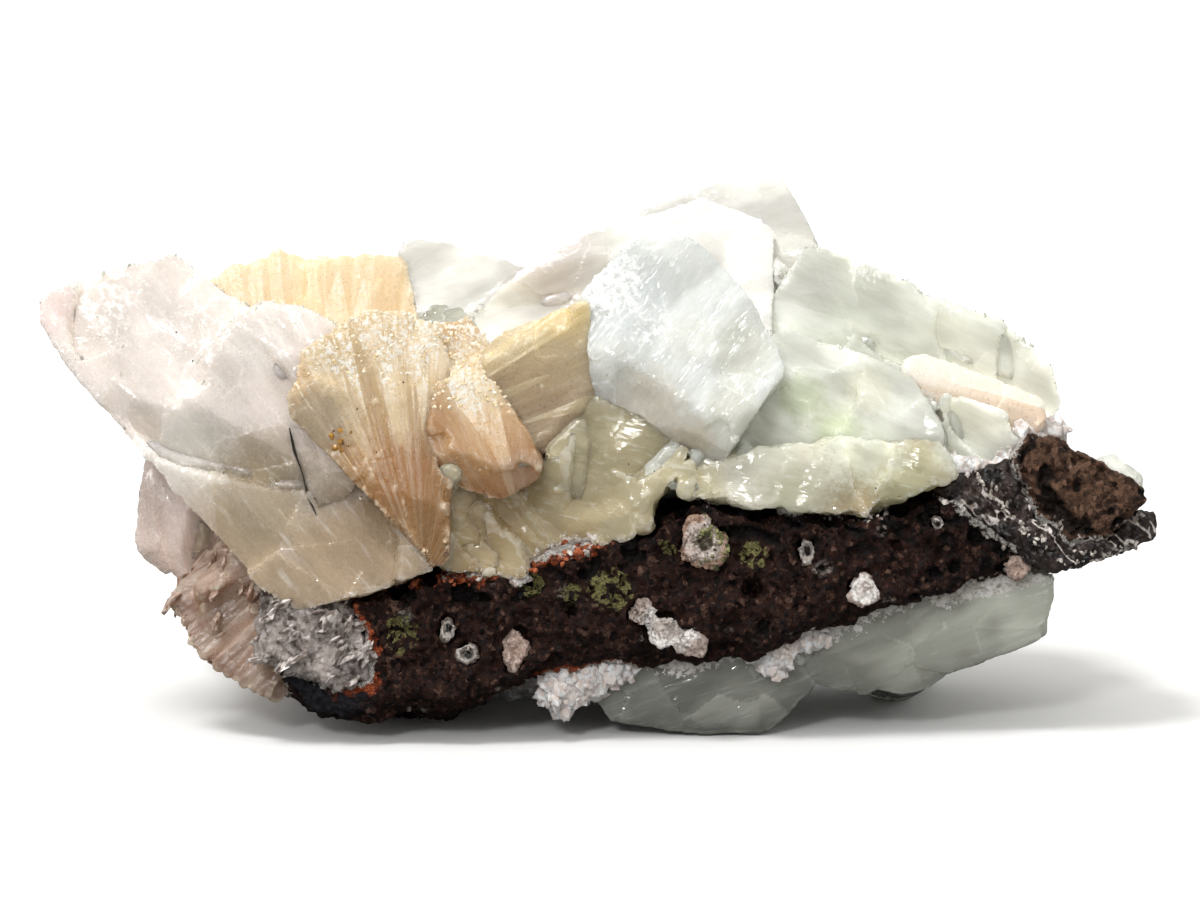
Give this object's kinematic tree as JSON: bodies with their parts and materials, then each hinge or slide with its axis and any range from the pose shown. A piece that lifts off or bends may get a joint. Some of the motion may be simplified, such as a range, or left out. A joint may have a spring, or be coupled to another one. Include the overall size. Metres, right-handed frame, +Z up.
{
  "type": "apophyllite cluster",
  "caption": "Apophyllite and stilbite crystals on a broken slab of vesicular basalt, a loose cabinet specimen that stands on its underside.",
  "frame": {"origin": "middle of the bounding box in X and Y, at the level of the floor", "axes": "+X along the slab, to the right seen from the broken front; +Y to the back; +Z up"},
  "size_m": [0.199, 0.0916, 0.0958],
  "materials": {
    "clear_apophyllite": "gloss",
    "pink_apophyllite": "gloss",
    "grey_apophyllite": "gloss",
    "cream_apophyllite": "gloss",
    "stilbite": "satin",
    "heulandite": "satin",
    "basalt": "matte"
  },
  "bodies": {
    "root": {"apophyllite_front_crystal": "clear_apophyllite", "stilbite_peach_blade": "stilbite", "stilbite_tan_blade": "stilbite", "stilbite_sheaf": "stilbite", "apophyllite_left_block": "pink_apophyllite", "apophyllite_centre_base": "cream_apophyllite", "apophyllite_green_pair": "clear_apophyllite", "stilbite_right_blade": "stilbite", "apophyllite_right_points": "clear_apophyllite", "apophyllite_right_block": "clear_apophyllite", "apophyllite_ridge_crystal": "clear_apophyllite", "apophyllite_peak_crystal": "clear_apophyllite", "apophyllite_grey_points": "grey_apophyllite", "apophyllite_white_crystal": "clear_apophyllite", "stilbite_back_ledge": "stilbite", "basalt_right_lump": "basalt", "heulandite_right_druse": "heulandite", "apophyllite_tip_crystal": "clear_apophyllite", "heulandite_vein": "heulandite", "heulandite_left_plates": "heulandite", "stilbite_lower_left": "stilbite", "apophyllite_pink_left": "pink_apophyllite", "apophyllite_foot_crystal": "grey_apophyllite", "apophyllite_under_crystals": "grey_apophyllite", "heulandite_front_crust": "heulandite", "heulandite_right_crust": "heulandite", "heulandite_back_crust": "heulandite", "apophyllite_back_left": "pink_apophyllite", "stilbite_back_sheaf": "stilbite", "apophyllite_back_centre": "clear_apophyllite", "apophyllite_back_ridge": "clear_apophyllite", "apophyllite_back_right": "clear_apophyllite", "zeolite_nodule_long": "heulandite", "zeolite_nodule_1": "heulandite", "zeolite_nodule_2": "heulandite", "zeolite_nodule_3": "heulandite", "zeolite_nodule_4": "heulandite", "zeolite_nodule_5": "heulandite", "zeolite_nodule_6": "heulandite", "zeolite_nodule_7": "heulandite", "zeolite_nodule_8": "heulandite", "zeolite_nodule_9": "heulandite", "basalt_slab": "basalt"}
  },
  "joints": []
}
